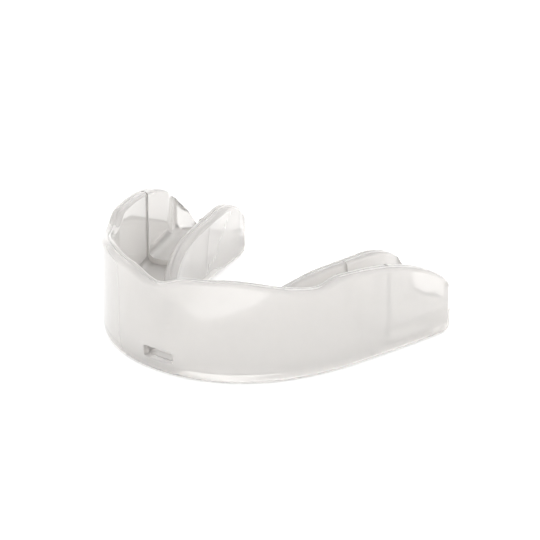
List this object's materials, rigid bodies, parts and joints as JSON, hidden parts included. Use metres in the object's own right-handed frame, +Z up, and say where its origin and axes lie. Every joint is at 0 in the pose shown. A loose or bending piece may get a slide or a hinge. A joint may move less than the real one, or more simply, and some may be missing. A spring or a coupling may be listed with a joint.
{
  "type": "mouthguard",
  "caption": "Clear U-section boil-and-bite mouthguard for the upper teeth, with a soft lining, molar pads and a strap slot at the front.",
  "frame": {"origin": "middle of the footprint, on the base that rests on the table", "axes": "-Y towards the lips, +Y towards the open rear of the arch, +X to the wearer's left, +Z up towards the gums"},
  "size_m": [0.0604, 0.0486, 0.0187],
  "materials": {
    "clear_frame": "smooth translucent moulded EVA, firm grade, slightly hazy",
    "clear_lining": "smooth translucent moulded EVA, soft grade that takes the bite"
  },
  "bodies": {
    "root": {"outer_shell": "clear_frame", "fitting_liner": "clear_lining", "molar_pad_left": "clear_lining", "molar_pad_right": "clear_lining"}
  },
  "joints": []
}
